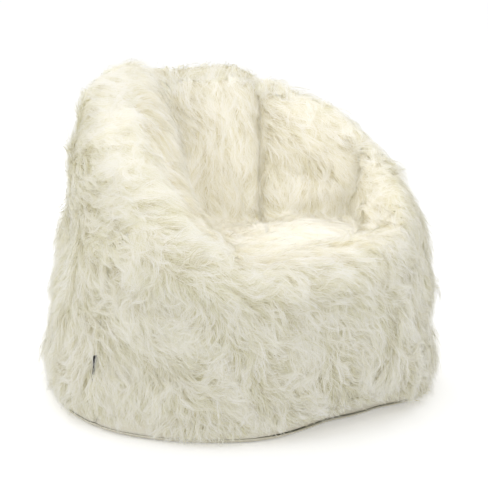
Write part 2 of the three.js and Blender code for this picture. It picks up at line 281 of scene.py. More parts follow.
def broad_normals(points):
    """Normals averaged along each column, so that a deep inset of a sharp edge doesn't fold."""
    normals = grid_normals(points)
    steps = np.linalg.norm(np.diff(points, axis=0), axis=-1)
    place = np.concatenate([np.zeros((1, COLUMNS)), np.cumsum(steps, 0)])
    weight = np.gradient(place, axis=0)
    for column in range(COLUMNS):
        apart = (place[:, None, column] - place[None, :, column]) / NORMAL_REACH
        near = np.exp(-apart ** 2 / 2) * weight[None, :, column]
        normals[:, column] = near @ normals[:, column] / near.sum(1, keepdims=True)
    for _ in range(SIDEWAYS_PASSES):
        normals = (2 * normals + np.roll(normals, 1, 1) + np.roll(normals, -1, 1)) / 4
    normals[-1] = normals[-1].mean(0)
    return normals / np.linalg.norm(normals, axis=-1, keepdims=True) ** 0.5


class Cushion:
    """The body's surface with its seams, folds and swellings, at any depth under the pile."""

    def __init__(self, puff):
        degrees = np.broadcast_to(DEGREES[None], T_GRID.shape)
        self.body = tucked(body_surface(ANGLE_GRID, T_GRID), degrees, T_GRID)
        self.sink, self.nearest = crease_relief(self.body)
        full = BULGE * (1 - np.exp(-(self.nearest / BULGE_REACH) ** 2))
        lumps = LUMPS * smooth_noise(self.body, LUMP_LENGTH, SEED)
        settle = np.clip(self.body[..., 2] / SETTLED, 0, 1)
        self.relief = (full * puff + lumps) * settle - self.sink + swelling(self.body)
        self.inset = broad_normals(self.body)

    def surface(self, under=0.0):
        depth = np.interp(ROW_T, DEPTH_RINGS, BACKING_DEPTH)[:, None] + under
        return self.body + self.inset * (self.relief - depth)[..., None]


# ---- cloth ----
CLOTH_COLUMNS, CLOTH_ROWS = 4, 4  # every fourth column and row of the grid
CLOTH_FRAMES, CLOTH_PRESSURE = 20, 7.0
CLOTH_STRETCH, CLOTH_BENDING = 5, 2
CLOTH_HELD, CLOTH_CAP = 0.012, 0.012 # held this near a seam, and moved this far at most
CLOTH_END = 13.2  # the rings nearer the seat's middle move with this one


def inflate(points, nearest):
    """The grid after a cloth simulation under the filling's pressure, held along its seams."""
    rings = ROW_T[::CLOTH_ROWS]
    centre = int(np.sum(rings > CLOTH_END))
    coarse = points[::CLOTH_ROWS, ::CLOTH_COLUMNS][:-centre]
    held = nearest[::CLOTH_ROWS, ::CLOTH_COLUMNS][:-centre].copy()
    held[0] = 0
    rows, columns = coarse.shape[:2]
    cover = grid_object("cover_cloth", coarse, bpy.data.materials.new("cloth"))
    pins = cover.vertex_groups.new(name="sewn")
    for index in np.flatnonzero(held.ravel() < CLOTH_HELD):
        pins.add([int(index)], 1.0, "REPLACE")
    cloth = cover.modifiers.new("cloth", "CLOTH")
    settings = cloth.settings
    settings.vertex_group_mass = pins.name
    settings.effector_weights.gravity = 0
    settings.use_pressure = True
    settings.uniform_pressure_force = CLOTH_PRESSURE
    settings.tension_stiffness = CLOTH_STRETCH
    settings.compression_stiffness = CLOTH_STRETCH
    settings.bending_stiffness = CLOTH_BENDING
    cloth.collision_settings.use_collision = False
    cloth.point_cache.frame_end = CLOTH_FRAMES
    scene = bpy.context.scene
    for step in range(1, CLOTH_FRAMES + 1):
        scene.frame_set(step)
    evaluated = cover.evaluated_get(bpy.context.evaluated_depsgraph_get())
    after = np.empty(rows * columns * 3, dtype=np.float32)
    evaluated.data.vertices.foreach_get("co", after)
    scene.frame_set(1)
    bpy.data.objects.remove(cover)
    move = after.reshape(rows, columns, 3).astype(float) - coarse
    far = np.linalg.norm(move, axis=-1, keepdims=True)
    move *= np.minimum(1, CLOTH_CAP / np.maximum(far, 1e-9))
    move = np.concatenate([move, np.broadcast_to(move[-1].mean(0), (centre, columns, 3))])
    row = np.arange(points.shape[0])[:, None] / CLOTH_ROWS
    column = np.arange(COLUMNS)[None] / CLOTH_COLUMNS
    return points + sample(move, row, column)


# ---- guide surface for the pile: as the backing, but straight down at the hem ----
HEM_STRAIGHT = 3.5  # the ring that the pile hangs straight down from
HEM_HEIGHT, HEM_LIFT = 0.004, 0.042  # above the floor, and more than that where the foot is drawn in
HEM_BARE = ((303, 12), (1, 13))  # where the base shows under the hem: degrees and spread
BARE_HEIGHT = 0.013


def guide_grid(backing):
    """The surface that hairs follow."""
    guide = backing.copy()
    start = int(round((HEM_STRAIGHT - ROW_T[0]) / ROW_STEP))
    first, last, fade = TUCK[:3]
    side = (DEGREES + 90) % 360 - 90
    foot = HEM_HEIGHT + HEM_LIFT * soft_between(side, first, last - 8, fade - 4)
    for place, spread in HEM_BARE:
        apart = (DEGREES - place + 180) % 360 - 180
        foot += BARE_HEIGHT * np.exp(-(apart / spread) ** 2)
    for row in range(start):
        share = row / start
        guide[row] = backing[start]
        guide[row, :, 2] = foot + (backing[start, :, 2] - foot) * share
    return guide


# ---- combing ----
# Where the pile is combed which way: degrees round the body, ring, and the direction it lies in.
COMBED = [
    # outside wall
    (0, 5.0, (0.40, -0.1, -1)), (335, 5.0, (0.45, -0.1, -1)), (20, 5.0, (0.35, 0, -1)),
    (310, 5.0, (0.25, -0.2, -1)), (50, 5.0, (0.2, 0.1, -1)), (285, 5.0, (0.05, -0.12, -1)),
    (262, 5.0, (0, -0.05, -1)), (90, 5.0, (0, 0.1, -1)), (130, 5.0, (0, 0, -1)),
    (170, 5.0, (0, 0, -1)), (215, 5.0, (0, 0, -1)), (240, 5.0, (0, 0, -1)),
    (0, 3.0, (0.15, 0, -1)), (330, 3.0, (0.2, 0, -1)), (30, 3.0, (0.15, 0, -1)),
    (300, 3.0, (0.1, -0.1, -1)), (60, 3.0, (0.1, 0.1, -1)),
    # front rim and the ends of the arms
    (350, 8.2, (0.8, -0.5, -0.5)), (15, 8.2, (0.8, -0.4, -0.5)), (325, 8.2, (0.8, -0.5, -0.6)),
    (305, 8.2, (0.7, -0.6, -0.5)), (45, 8.2, (0.7, -0.2, -0.7)), (345, 9.6, (0.9, -0.5, 0)),
    (15, 9.6, (0.9, -0.45, 0)), (318, 9.3, (0.9, -0.5, -0.1)), (297, 9.4, (0.9, -0.45, -0.4)),
    # the fuller arm
    (285, 8.3, (0.5, -0.5, -0.8)), (270, 8.6, (0.9, -0.3, 0.4)), (252, 8.6, (0.9, -0.25, 0.6)),
    (285, 9.5, (0.9, -0.35, -0.3)), (268, 9.5, (0.95, -0.25, -0.1)), (250, 9.4, (0.95, -0.2, -0.1)),
    (232, 9.3, (0.9, -0.4, -0.1)), (285, 10.8, (0.8, -0.4, -0.6)), (268, 10.8, (0.6, -0.4, -0.9)),
    (250, 10.8, (0.5, -0.5, -0.9)), (228, 10.6, (0.3, -0.6, -0.9)), (240, 7.6, (0.2, -0.4, 0.3)),
    # back roll
    (215, 8.8, (0.8, -0.6, 0.2)), (200, 9.0, (0.3, -1.0, 0.1)), (185, 9.0, (0.1, -1.0, 0.1)),
    (160, 9.0, (0.4, -0.8, 0)), (140, 9.0, (0.7, -0.5, -0.2)), (185, 8.0, (0, 0.2, -1)),
    (150, 8.0, (0, 0.2, -1)), (210, 8.0, (0, 0.2, -1)),
    # inner back
    (200, 9.8, (0.1, -0.3, -1)), (185, 9.8, (0, -0.3, -1)), (200, 11.0, (0.15, -0.1, -1)),
    (183, 11.0, (0, -0.1, -1)), (165, 9.9, (1, 0, -0.35)), (150, 10.2, (1, -0.1, -0.2)),
    (135, 10.4, (0.9, -0.3, -0.1)), (162, 10.7, (0.9, 0, -0.6)), (145, 10.75, (0.9, -0.1, -0.4)),
    (165, 11.3, (0.1, -0.1, -1)), (148, 11.3, (0.1, -0.1, -1)), (133, 11.3, (0, -0.2, -1)),
    # the other arm
    (118, 9.4, (0.6, -0.7, -0.4)), (95, 9.2, (0.7, -0.5, -0.4)), (72, 9.0, (0.7, -0.5, -0.4)),
    (118, 10.6, (0.1, -0.7, -0.9)), (95, 10.6, (0.1, -0.7, -0.8)), (72, 10.6, (0.3, -0.7, -0.3)),
    (110, 8.0, (0.4, -0.2, -0.9)), (80, 8.0, (0.5, -0.2, -0.9)),
    # seat
    (190, 12.6, (-0.5, -0.8, 0)), (150, 12.6, (0.3, -0.9, 0)), (240, 12.8, (-0.7, -0.7, 0)),
    (270, 12.8, (-0.5, -0.8, 0)), (100, 12.8, (0.95, -0.3, 0)), (60, 12.8, (0.95, -0.3, 0)),
    (0, 13.9, (0.5, -0.8, 0)), (0, 12.6, (0.75, -0.6, 0)), (320, 12.4, (0.5, -0.8, 0)),
    (0, 11.0, (0.9, -0.45, 0)), (30, 11.0, (0.9, -0.4, 0)), (330, 11.0, (0.7, -0.7, 0)),
]
COMB_REACH = 0.075  # metres


def comb_field(points, normals):
    """Unit tangent directions that the pile lies along."""
    total = np.zeros(points.shape)
    for degrees, ring, direction in COMBED:
        place = at_place(points, degrees, ring)[0]
        facing = unit(at_place(normals, degrees, ring))[0]
        near = np.exp(-np.sum((points - place) ** 2, -1) / (2 * COMB_REACH ** 2)) + 1e-6
        alike = np.clip(normals @ facing + 0.15, 0.02, 1) ** 2
        total += (near * alike)[..., None] * unit(np.array(direction))
    total -= normals * np.sum(total * normals, -1, keepdims=True)
    return unit(total)


def turn(vector, axis, angle):
    """Vectors perpendicular to the axis, turned about it."""
    return vector * np.cos(angle)[..., None] + np.cross(axis, vector) * np.sin(angle)[..., None]


# ---- pile ----
GUIDE_POINTS = 9
MOST_ROWS, MOST_COLUMNS = 4, 14  # in one step of a guide
TRIM = (0.421, 0.379)  # no hair reaches further from the middle than this, in X and Y
LOWEST, SHORTEST = 0.0015, 0.008  # height above the floor, length where there is no room
HEM_GAP, HEM_UNEVEN = 0.004, (-0.009, 0.008)
SEAM_SINK, SEAM_REACH, SEAM_TRIM = 0.012, 0.012, 0.55  # hair beside a deep seam is shorter
FLICK, FLICK_CLEAR = 0.018, 0.028  # how far tips stand off, and how near a seam they don't
STRAY, STRAY_SHARE, STRAY_MORE = 0.0022, 0.05, 4.0
SMOOTH_SHADE = 0.6  # share of the body's direction in how each hair is shaded
# Regions of the pile: the outer wall's last ring and the width of its front in degrees, the rings of
# the seat and of the top edge, the degrees of the back, and the ridge with its ring and width. The pile
# is painted paler over the top edge at the back and on the seat, as painted light.
WALL_TOP, FRONT_SPREAD = 8.3, 75
SEAT_RINGS, TOP_EDGE = (11.8, 15, 0.5), (7.8, 9.4, 0.8)
BEHIND, RIDGE = (110, 285, 25), (8.9, 0.6, 60, 290, 25)
SWIRLS = ((0.16, 0.6, 0.42), (0.07, 0.5, 0.3))  # wavelength, strength in front and elsewhere
# Short even fur against the backing, the wavy locks that lie over it, and loose wisps on top. The
# undercoat's tones are darker and the wisps' paler: painted shade deep in the pile and between the
# locks, as the hairs cast no shadows.
UNDERCOAT = dict(
    label="undercoat", flick=0.0, locks=22000, strands=5, radius=0.0075, length=(0.030, 0.044),
    height=(0.007, 0.014), gather=(0.0, 0.35), wave=(0.05, 0.25), swirl=0.6, points=5,
    width=(0.0010, 0.0017), tilt=0.15, tone=(0.0, 0.55))
LOCKS = dict(
    label="locks", flick=0.6, locks=8000, strands=12, radius=0.0042, length=(0.054, 0.078),
    height=(0.014, 0.026), gather=(0.6, 0.96), wave=(0.2, 0.75), swirl=1.0, points=6,
    width=(0.0006, 0.0011), tilt=0.3, tone=(0.12, 1.0))
WISPS = dict(
    label="wisps", flick=1.0, locks=6500, strands=8, radius=0.0050, length=(0.050, 0.078),
    height=(0.015, 0.032), gather=(0.4, 0.95), wave=(0.2, 0.8), swirl=1.0, points=6,
    width=(0.0005, 0.0009), tilt=0.4, tone=(0.45, 1.0))


class Pile:
    """Arrays that describe the surface the pile grows from."""

    def __init__(self, backing, sink, nearest):
        self.points = guide_grid(backing)
        self.normals = grid_normals(self.points)
        self.comb = comb_field(self.points, self.normals)
        self.row_vector = np.gradient(self.points, axis=0)
        self.column_vector = (np.roll(self.points, -1, 1) - np.roll(self.points, 1, 1)) / 2
        self.sink = sink[..., None]
        self.nearest = nearest[..., None]

    def foot(self, column):
        """Height of the hem above the floor under each place."""
        return self.points[0, (column % COLUMNS).astype(int), 2] - HEM_HEIGHT

    def step(self, row, column, move):
        """Fractional grid place after moving by a tangent vector."""
        u = sample(self.row_vector, row, column)
        v = sample(self.column_vector, row, column)
        uu, vv, uv = (np.sum(a * b, -1) for a, b in ((u, u), (v, v), (u, v)))
        mu, mv = np.sum(move * u, -1), np.sum(move * v, -1)
        determinant = np.maximum(uu * vv - uv * uv, 1e-14)
        rows = (mu * vv - mv * uv) / determinant
        columns = (mv * uu - mu * uv) / determinant
        return (row + np.clip(rows, -MOST_ROWS, MOST_ROWS),
                column + np.clip(columns, -MOST_COLUMNS, MOST_COLUMNS))


def scatter_roots(pile, count, rng):
    """Root places spread evenly by area over the furred part of the body."""
    quad = np.linalg.norm(np.cross(pile.row_vector, pile.column_vector), axis=-1)
    quad[T_GRID < BASE_SEAM] = 0
    quad[-1] = 0
    total = np.cumsum(quad.ravel())
    picked = np.searchsorted(total, rng.uniform(0, total[-1], count))
    row = picked // COLUMNS + rng.uniform(0, 1, count)
    column = picked % COLUMNS + rng.uniform(0, 1, count)
    return np.minimum(row, len(ROW_T) - 1.001), column


def guide_lengths(pile, coat, rng, root, column, outside, deep_seam):
    length = rng.uniform(*coat["length"], len(root))
    length *= np.where(outside, 1.1, 0.95)
    length *= 1 - SEAM_TRIM * deep_seam
    room = np.maximum(root[..., 2] - HEM_GAP - pile.foot(column), SHORTEST)
    uneven = rng.uniform(*HEM_UNEVEN, len(root))
    return np.where(outside, np.minimum(length, np.maximum(room + uneven, SHORTEST)), length)


def grow_guides(pile, coat, rng, count):
    """The middle line of every lock, with its heading, height and place on the body."""
    row, column = scatter_roots(pile, count, rng)
    t = ROW_T[0] + row * ROW_STEP
    degrees = (column * 360.0 / COLUMNS) % 360
    root = sample(pile.points, row, column)
    outside = t < WALL_TOP
    seat = soft_between(t, *SEAT_RINGS)
    front = (np.abs((degrees + 180) % 360 - 180) < FRONT_SPREAD) & outside
    sink = sample(pile.sink, row, column)[..., 0]
    nearest = sample(pile.nearest, row, column)[..., 0]
    deep_seam = np.exp(-(nearest / SEAM_REACH) ** 2) * (sink > SEAM_SINK)
    length = guide_lengths(pile, coat, rng, root, column, outside, deep_seam)

    height = rng.uniform(*coat["height"], count) * (1 - 0.25 * seat)
    height *= np.clip(1 - sink / 0.06, 0.3, 1)
    height *= 0.8 + 0.35 * smooth_noise(root, 0.07, SEED + 5)
    height = np.maximum(height, 0.006)

    swirl = np.zeros(count)
    for index, (wavelength, in_front, elsewhere) in enumerate(SWIRLS, 1):
        swirl += smooth_noise(root, wavelength, SEED + index) * np.where(front, in_front, elsewhere)
    swirl += rng.normal(0, 0.16, count)
    swirl *= (1 - 0.55 * seat) * coat["swirl"]
    ridge = np.exp(-((t - RIDGE[0]) / RIDGE[1]) ** 2) * soft_between(degrees, *RIDGE[2:])
    swirl += rng.normal(0, 1.0, count) * ridge  # tousled, so that the ridge shows no parting
    bend = rng.normal(0, 0.5, count) + smooth_noise(root, 0.09, SEED + 3) * 0.6
    wave = rng.uniform(*coat["wave"], count) * np.where(front, 1.25, np.where(outside, 1.0, 0.7))
    phase = rng.uniform(0, 2 * math.pi, count)
    turns = rng.uniform(0.7, 1.5, count)

    places, frames = [], []
    for share in np.linspace(0, 1, GUIDE_POINTS):
        normal = unit(sample(pile.normals, row, column))
        along = unit(sample(pile.comb, row, column))
        heading = swirl + bend * (share - 0.3) + wave * np.sin(2 * math.pi * turns * share + phase)
        along = unit(turn(along, normal, heading))
        places.append(sample(pile.points, row, column))
        frames.append((along, normal, np.cross(normal, along)))
        row, column = pile.step(row, column, along * (length / (GUIDE_POINTS - 1))[:, None])
    along, normal, side = (np.stack(part, 1) for part in zip(*frames))
    return {"point": np.stack(places, 1), "along": along, "normal": normal, "side": side,
            "height": height, "t": t, "degrees": degrees, "nearest": nearest}


def along_guide(values, place):
    """Values (lock, guide point, 3) at a place from 0 to 1 along each guide."""
    scaled = np.clip(place, 0, 1) * (GUIDE_POINTS - 1)
    first = np.minimum(scaled.astype(int), GUIDE_POINTS - 2)
    share = (scaled - first)[..., None]
    rows = np.arange(len(values))[:, None]
    return values[rows, first] * (1 - share) + values[rows, first + 1] * share


def flicked(guides, lock, coat, rng):
    """How far each strand's tip stands off the pile."""
    facing_up = guides["normal"][lock, 0, 2:]
    room = FLICK * (1 - np.minimum(facing_up, 0) ** 2)
    room = room * (1 - 0.9 * np.exp(-(guides["nearest"][lock][:, None] / FLICK_CLEAR) ** 2))
    return room * rng.uniform(0, 1, len(guides["t"]))[lock][:, None] ** 2 * coat["flick"]


def strand_tones(guides, lock, coat, rng):
    """How pale each strand is, from 0 to 1, with painted light: paler over the top edge at the back and
    on the seat, which face up into the light.
    """
    ring = guides["t"][lock]
    behind = soft_between(guides["degrees"][lock], *BEHIND)
    # Painted light: the top edge, more so at the back, and the seat get paler hairs.
    painted_light = (0.10 + 0.20 * behind) * soft_between(ring, *TOP_EDGE) + 0.30 * (ring > CREASE) + 0.04
    tone = rng.uniform(*coat["tone"], len(lock)) + rng.normal(0, 0.06, len(guides["t"]))[lock]
    return np.clip(tone + painted_light, 0, 1)


def grow_strands(guides, coat, rng):
    """Ribbons for every lock: middle line, half width, tone and shading direction."""
    lock = np.repeat(np.arange(len(guides["t"])), coat["strands"])
    count = len(lock)
    share = np.linspace(0, 1, coat["points"])[None] ** 1.05
    reach = rng.uniform(0.72, 1.06, count)[:, None]
    place = share * np.minimum(reach, 1)
    point, along, normal, side = (along_guide(guides[key][lock], place)
                                  for key in ("point", "along", "normal", "side"))
    offset = rng.normal(0, coat["radius"], (count, 2))
    gather = rng.uniform(*coat["gather"], count)[:, None]
    keep = 1 - gather * share ** 1.1
    stray = rng.normal(0, STRAY, (count, 2))
    stray *= np.where(rng.uniform(size=(count, 1)) < STRAY_SHARE, STRAY_MORE, 1.0)
    curl = rng.uniform(0.0006, 0.0022, count)[:, None]
    curl_phase = rng.uniform(0, 2 * math.pi, count)[:, None]
    sideways = offset[:, :1] * keep + stray[:, :1] * share ** 2
    sideways = sideways + curl * np.sin(2 * math.pi * 1.3 * share + curl_phase) * share
    forward = offset[:, 1:] * keep

    height = guides["height"][lock] * rng.uniform(0.45, 1.1, count)
    rise = 1 - np.exp(-share * 3.4)
    fall = 1 - 0.35 * share ** 2
    lift = height[:, None] * rise * fall + np.abs(stray[:, 1:]) * share ** 2
    lift += flicked(guides, lock, coat, rng) * share ** 3
    spine = point + side * sideways[..., None] + along * forward[..., None] + normal * lift[..., None]
    spine[..., 2] = np.maximum(spine[..., 2], LOWEST)
    spine[..., :2] = np.clip(spine[..., :2], (-TRIM[0], -TRIM[1]), TRIM)
    tilt = rng.normal(0, coat["tilt"], count)[:, None, None]
    direction = unit(np.gradient(spine, axis=1))
    across = unit(np.cross(normal, direction))
    facing = unit(np.cross(direction, across))
    across = across * np.cos(tilt) + facing * np.sin(tilt)
    width = rng.uniform(*coat["width"], count)[:, None] * (1 - 0.8 * share ** 2.2)
    shade = unit(SMOOTH_SHADE * normal + (1 - SMOOTH_SHADE) * np.cross(direction, across))
    return spine, across * (width / 2)[..., None], strand_tones(guides, lock, coat, rng), shade


def panel_of(t, degrees):
    """The CAD panel at each ring and angle."""
    tongue = (degrees < TONGUE) | (degrees >= 360 - TONGUE)
    wall_start = np.where(tongue, TOP, ROLL)
    outside = t < wall_start
    wall = (t >= wall_start) & (t < CREASE) & ~tongue
    front = (degrees < SIDE_LEFT) | (degrees >= SIDE_RIGHT)
    left = degrees < CENTRE
    arm = (degrees < ARM_LEFT) | (degrees >= ARM_RIGHT)
    names = np.full(t.shape, "seat_panel", dtype="<U24")
    for part, chosen in zip(("outer_back", "inner_back", "arm"),
                            (outside & ~front, wall & ~arm, wall & arm)):
        names[chosen & left] = part + "_panel_left"
        names[chosen & ~left] = part + "_panel_right"
    names[outside & front] = "front_panel"
    return names


# ---- meshes ----
BAKE_MAP = "OFBake"


def add_object(name, data):
    added = bpy.data.objects.new(name, data)
    bpy.context.scene.collection.objects.link(added)
    return added


def new_object(name, vertices, faces_flat, corners, material, uv=None):
    """A mesh object from flat numpy arrays; corners is the number of corners of every face."""
    mesh = bpy.data.meshes.new(name)
    mesh.vertices.add(len(vertices))
    mesh.vertices.foreach_set("co", np.ascontiguousarray(vertices, dtype=np.float32).ravel())
    mesh.loops.add(len(faces_flat))
    mesh.loops.foreach_set("vertex_index", faces_flat.astype(np.int32))
    starts = np.concatenate([[0], np.cumsum(corners)[:-1]]).astype(np.int32)
    mesh.polygons.add(len(corners))
    mesh.polygons.foreach_set("loop_start", starts)
    mesh.polygons.foreach_set("loop_total", corners.astype(np.int32))
    mesh.polygons.foreach_set("use_smooth", np.ones(len(corners), bool))
    if uv is not None:
        layer = mesh.uv_layers.new(name=BAKE_MAP)
        layer.data.foreach_set("uv", uv[faces_flat].astype(np.float32).ravel())
    mesh.update(calc_edges=True)
    mesh.materials.append(material)
    return add_object(name, mesh)


def ribbon_mesh(name, spine, half, tone, shade, material):
    """Flat tapering ribbons: pairs of vertices along the spine and one at the tip."""
    count, points = spine.shape[:2]
    body = points - 1
    left = (spine - half)[:, :body]
    right = (spine + half)[:, :body]
    pairs = np.stack([left, right], 2).reshape(count, body * 2, 3)
    vertices = np.concatenate([pairs, spine[:, -1:]], 1).reshape(-1, 3)
    per = body * 2 + 1
    quads = np.array([[2 * k + 1, 2 * k, 2 * k + 2, 2 * k + 3] for k in range(body - 1)]).ravel()
    pattern = np.concatenate([quads, [per - 2, per - 3, per - 1]])
    faces = (np.arange(count)[:, None] * per + pattern[None]).ravel()
    corners = np.tile(np.array([4] * (body - 1) + [3]), count)
    along = np.concatenate([np.repeat(np.linspace(0, 1, points)[:body], 2), [1.0]])
    uv = np.stack([np.repeat(tone[:, None], per, 1), np.repeat(along[None], count, 0)], -1)
    uv = 0.01 + 0.98 * uv.reshape(-1, 2)
    tufts = new_object(name, vertices, faces, corners, material, uv)
    facing = np.concatenate([np.repeat(shade[:, :body], 2, 1), shade[:, -1:]], 1)
    tufts.data.normals_split_custom_set_from_vertices(facing.reshape(-1, 3))
    return tufts


def closed_slab(name, outer, inner, present, material):
    """A closed sheet over grid cells: two faces and a strip along every free edge."""
    rows, columns = outer.shape[:2]
    index = np.arange(rows * columns).reshape(rows, columns)
    lifted = index + rows * columns
    r, c = np.nonzero(present)
    n = (c + 1) % columns
    a, b, d, e = index[r, c], index[r, n], index[r + 1, n], index[r + 1, c]
    a2, b2, d2, e2 = lifted[r, c], lifted[r, n], lifted[r + 1, n], lifted[r + 1, c]
    quads = [np.stack([a, b, d, e], -1), np.stack([e2, d2, b2, a2], -1)]
    padded = np.pad(present, ((1, 1), (0, 0)))
    sides = [
        (~padded[:-2][r, c], (a, a2, b2, b)),
        (~padded[2:][r, c], (e, d, d2, e2)),
        (~np.roll(present, 1, 1)[r, c], (a, e, e2, a2)),
        (~np.roll(present, -1, 1)[r, c], (b, b2, d2, d)),
    ]
    for free, corners in sides:
        quads.append(np.stack([corner[free] for corner in corners], -1))
    used, faces = np.unique(np.concatenate(quads), return_inverse=True)
    vertices = np.concatenate([outer.reshape(-1, 3), inner.reshape(-1, 3)])[used]
    faces = faces.reshape(-1)
    return new_object(name, vertices, faces, np.full(len(faces) // 4, 4), material)


def grid_object(name, points, material):
    """A sheet of quads over a grid whose columns wrap."""
    rows, columns = points.shape[:2]
    index = np.arange(rows * columns).reshape(rows, columns)
    a, b = index[:-1], index[1:]
    quads = np.stack([a, np.roll(a, -1, 1), np.roll(b, -1, 1), b], -1).reshape(-1)
    corners = np.full((rows - 1) * columns, 4)
    return new_object(name, points.reshape(-1, 3), quads, corners, material)


def faces_outwards(piece, hole=None):
    """Turn every face outwards, after closing a hole round the given vertices."""
    build = bmesh.new()
    build.from_mesh(piece.data)
    if hole is not None:
        build.verts.ensure_lookup_table()
        build.faces.new([build.verts[k] for k in hole])
        bmesh.ops.remove_doubles(build, verts=build.verts, dist=1e-5)
    bmesh.ops.recalc_face_normals(build, faces=build.faces)
    build.to_mesh(piece.data)
    build.free()


def put(piece, slot, *nodes):
    """The piece belongs to the bag's body; nodes are the CAD pieces it stands for."""
    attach(piece, "bag")
    if nodes:
        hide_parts(*nodes)


# ---- sewn panels ----
PAIRED = [f"{part}_panel_{side}" for part in ("outer_back", "inner_back", "arm")
          for side in ("left", "right")]
FUR_PANELS = ["front_panel", *PAIRED, "seat_panel"]
OUTSIDE_PANELS = FUR_PANELS[:3]
SHELL_STEP = 3  # grid steps to one cell of a panel
SHELL_CLOTH, SHELL_GAP, SHELL_LOWEST = 0.003, 0.0006, 0.002


def drawn_in(points, present):
    """Grid points with those on the free edge of the present cells moved in by the sewing gap."""
    rows, columns = points.shape[:2]
    padded = np.pad(present, ((1, 1), (0, 0)))
    total = np.zeros(points.shape)
    count = np.zeros((rows, columns, 1))
    for dr in (0, 1):
        for dc in (0, 1):
            cell = np.roll(padded[dr:dr + rows], 1 - dc, 1)[..., None]
            rows_beside = np.clip(np.arange(rows) + 2 * dr - 1, 0, rows - 1)
            total += np.roll(points, 1 - 2 * dc, 1)[rows_beside] * cell
            count += cell
    inwards = unit(total / np.maximum(count, 1) - points)
    edge = (count > 0) & (count < 4)
    return points + inwards * SHELL_GAP * edge


def sewn_panels(backing, material):
    """The cover's backing, one closed panel for each CAD panel."""
    grid = backing[::SHELL_STEP, ::SHELL_STEP]
    rings, degrees = ROW_T[::SHELL_STEP], DEGREES[::SHELL_STEP]
    inner = grid - grid_normals(grid) * SHELL_CLOTH
    inner[..., 2] = np.maximum(inner[..., 2], SHELL_LOWEST)
    ring, side = np.meshgrid((rings[1:] + rings[:-1]) / 2, degrees + 0.5 * SHELL_STEP, indexing="ij")
    owner = panel_of(ring, side)
    owner[ring < BASE_SEAM] = ""
    for panel in FUR_PANELS:
        present = owner == panel
        shell = closed_slab(panel.replace("_panel", "_backing"), drawn_in(grid, present),
                            drawn_in(inner, present), present, material)
        put(shell, "fur", panel)


# ---- materials ----
def material_with(name, roughness=0.8, sheen=0.0, colour=(0.8, 0.8, 0.8)):
    material = bpy.data.materials.new(name)
    material.use_nodes = True
    shader = material.node_tree.nodes["Principled BSDF"]
    shader.inputs["Base Color"].default_value = (*colour, 1)
    shader.inputs["Roughness"].default_value = roughness
    shader.inputs["Sheen Weight"].default_value = sheen
    shader.inputs["Specular IOR Level"].default_value = 0.3
    return material, material.node_tree, shader


def add_node(tree, kind, inputs=None, **settings):
    """A shader node; its inputs are given as values or as the outputs of other nodes."""
    node = tree.nodes.new("ShaderNode" + kind)
    for name, value in settings.items():
        setattr(node, name, value)
    for socket, value in (inputs or {}).items():
        if isinstance(value, bpy.types.NodeSocket):
            tree.links.new(value, node.inputs[socket])
        else:
            node.inputs[socket].default_value = value
    return node


def add_surface(tree, shader, colour, relief=None, depth=0.0):
    """Joins a colour, and a relief of some depth, to the shader."""
    tree.links.new(colour, shader.inputs["Base Color"])
    if relief is not None:
        bump = add_node(tree, "Bump", {"Height": relief, "Distance": depth})
        tree.links.new(bump.outputs[0], shader.inputs["Normal"])


def add_ramp(tree, stops, value):
    """The colour for a value between stops of (value, colour)."""
    node = add_node(tree, "ValToRGB", {0: value})
    elements = node.color_ramp.elements
    while len(elements) < len(stops):
        elements.new(0.5)
    for element, (place, colour) in zip(elements, stops):
        element.position = place
        element.color = (*colour, 1)
    return node.outputs[0]


# Colours of a hair from root to tip: of the palest and of the darkest hairs, outside and inside. Every
# hair is darker and warmer towards its root: painted shade deep in the pile, where the hairs cast no
# shadow.
HAIR_PLACES = (0.0, 0.35, 0.8, 1.0)
TONE_SHARES = ((0.0, 0.0), (0.25, 0.15), (0.75, 0.8), (1.0, 1.0))  # tone and how pale it is
# The outside and inside colours are two tints of one fur: the outer wall's dark hairs are a little
# darker and greener, the pocket's lighter and warmer, as painted shade outside and painted bounce light
# in the pocket.
PALE_OUTSIDE = ((0.86, 0.82, 0.67), (0.95, 0.937, 0.88), (0.985, 0.977, 0.96), (0.99, 0.983, 0.972))
DARK_OUTSIDE = ((0.56, 0.51, 0.31), (0.74, 0.712, 0.50), (0.86, 0.848, 0.70), (0.91, 0.902, 0.78))
PALE_INSIDE = ((0.87, 0.825, 0.69), (0.945, 0.934, 0.885), (0.98, 0.972, 0.962), (0.985, 0.979, 0.972))
DARK_INSIDE = ((0.58, 0.515, 0.31), (0.76, 0.718, 0.53), (0.88, 0.858, 0.73), (0.92, 0.904, 0.82))


def fur_material(name, pale, dark):
    """Hair whose colour runs from a darker root (painted shade deep in the pile) to a pale tip, and
    differs from hair to hair.
    """
    material, tree, shader = material_with(name, roughness=0.6, sheen=0.25)
    place = add_node(tree, "UVMap", uv_map=BAKE_MAP).outputs["UV"]
    split = add_node(tree, "SeparateXYZ", {0: place}).outputs
    light = add_ramp(tree, list(zip(HAIR_PLACES, pale)), split["Y"])
    deep = add_ramp(tree, list(zip(HAIR_PLACES, dark)), split["Y"])
    tone = add_ramp(tree, [(place, (share,) * 3) for place, share in TONE_SHARES], split["X"])
    mix = add_node(tree, "Mix", {"Factor": tone, "A": deep, "B": light}, data_type="RGBA")
    add_surface(tree, shader, mix.outputs["Result"])
    return material


BACKING_COLOURS = ((0.83, 0.79, 0.66), (0.90, 0.87, 0.76))
BASE_COLOURS = ((0.76, 0.72, 0.58), (0.88, 0.85, 0.73))
LINER_COLOURS = ((0.78, 0.78, 0.76), (0.88, 0.88, 0.86))
WEAVE_WOBBLE, WEAVE_HEIGHT, MOTTLE_SCALE = 0.6, 0.0004, 30


